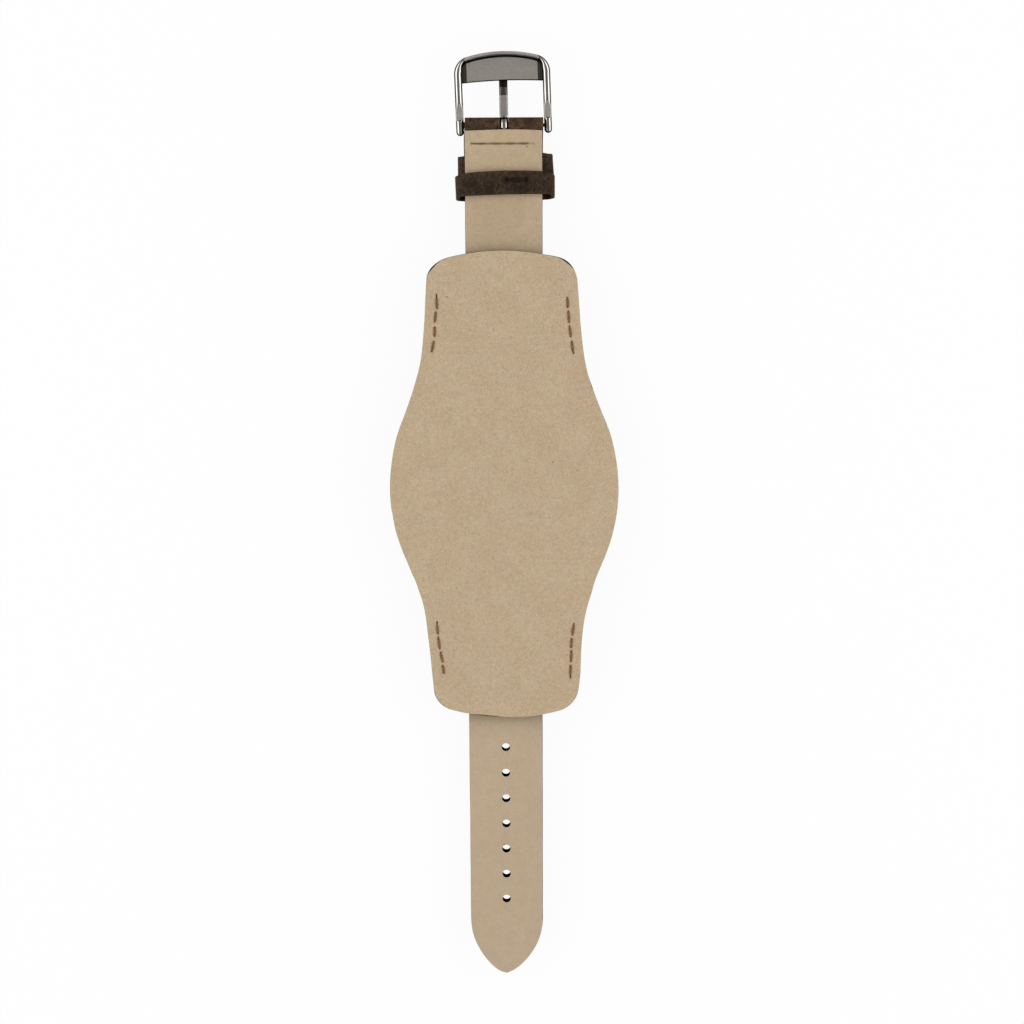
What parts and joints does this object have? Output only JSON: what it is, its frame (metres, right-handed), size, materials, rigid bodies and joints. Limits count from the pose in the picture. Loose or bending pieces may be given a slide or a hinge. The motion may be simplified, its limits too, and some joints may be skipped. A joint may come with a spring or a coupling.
{
  "type": "bund watch strap",
  "caption": "Leather bund watch strap: a shaped wrist pad with bridges, a sliding buckle strap with keepers and pin buckle, and a sliding punched tail strap.",
  "frame": {"origin": "centre of the pad's wrist face, the outer face of its tan lining", "axes": "+Z out of the wrist face, +Y along the strap towards the buckle, +X across it; the side seen when worn faces -Z"},
  "size_m": [0.0542, 0.2257, 0.0088],
  "materials": {
    "lining_leather": "matte natural tan, fine suede-like grain",
    "face_leather": "dark brown, waxed, matte",
    "keeper_leather": "dark brown, waxed, matte",
    "stiffener": "plain bonded leather",
    "golden_thread": "waxed golden-brown thread",
    "dark_thread": "waxed black-brown thread",
    "polished_steel": "polished, with a satin plate",
    "bar_steel": "plain turned steel"
  },
  "bodies": {
    "pad": {"pad_lining": "lining_leather", "pad_face": "face_leather", "upper_bridge": "face_leather", "lower_bridge": "face_leather", "upper_left_stitching": "golden_thread", "upper_right_stitching": "golden_thread", "lower_left_stitching": "golden_thread", "lower_right_stitching": "golden_thread"},
    "buckle_strap": {"buckle_strap_lining": "lining_leather", "buckle_strap_core": "stiffener", "buckle_strap_face": "face_leather", "buckle_end_stitching": "golden_thread", "buckle_lug_stitching": "golden_thread", "fixed_keeper": "keeper_leather"},
    "floating_keeper": {"floating_keeper": "keeper_leather", "floating_keeper_stitch": "dark_thread"},
    "buckle": {"buckle_frame": "polished_steel", "spring_bar_barrel": "bar_steel", "spring_bar_spring": "bar_steel"},
    "tongue": {"buckle_tongue": "polished_steel"},
    "left_plunger": {"left_plunger": "bar_steel"},
    "right_plunger": {"right_plunger": "bar_steel"},
    "tail_strap": {"tail_strap_lining": "lining_leather", "tail_strap_core": "stiffener", "tail_strap_face": "face_leather", "tail_lug_stitching": "golden_thread"}
  },
  "joints": [
    {"name": "buckle_strap_slide", "type": "slide", "parent": "pad", "child": "buckle_strap", "axis": [0, -1, 0], "range_m": [-0.0135, 0.006]},
    {"name": "tail_strap_slide", "type": "slide", "parent": "pad", "child": "tail_strap", "axis": [0, 1, 0], "range_m": [-0.0135, 0.006]},
    {"name": "floating_keeper_slide", "type": "slide", "parent": "buckle_strap", "child": "floating_keeper", "axis": [0, 1, 0], "range_m": [-0.0115, 0.0035]},
    {"name": "buckle_swivel", "type": "hinge", "parent": "buckle_strap", "child": "buckle", "pos_m": [0, 0.08485, -0.00305], "axis": [1, 0, 0], "range_deg": [-80, 60]},
    {"name": "tongue_pivot", "type": "hinge", "parent": "buckle", "child": "tongue", "pos_m": [0, 0.08485, -0.00305], "axis": [-1, 0, 0], "range_deg": [0, 110]},
    {"name": "left_plunger_press", "type": "slide", "parent": "buckle", "child": "left_plunger", "axis": [1, 0, 0], "range_m": [0, 0.00095], "stiffness_N_per_m": 1000, "deforming": ["spring_bar_spring"]},
    {"name": "right_plunger_press", "type": "slide", "parent": "buckle", "child": "right_plunger", "axis": [-1, 0, 0], "range_m": [0, 0.00095], "stiffness_N_per_m": 1000, "deforming": ["spring_bar_spring"]}
  ]
}
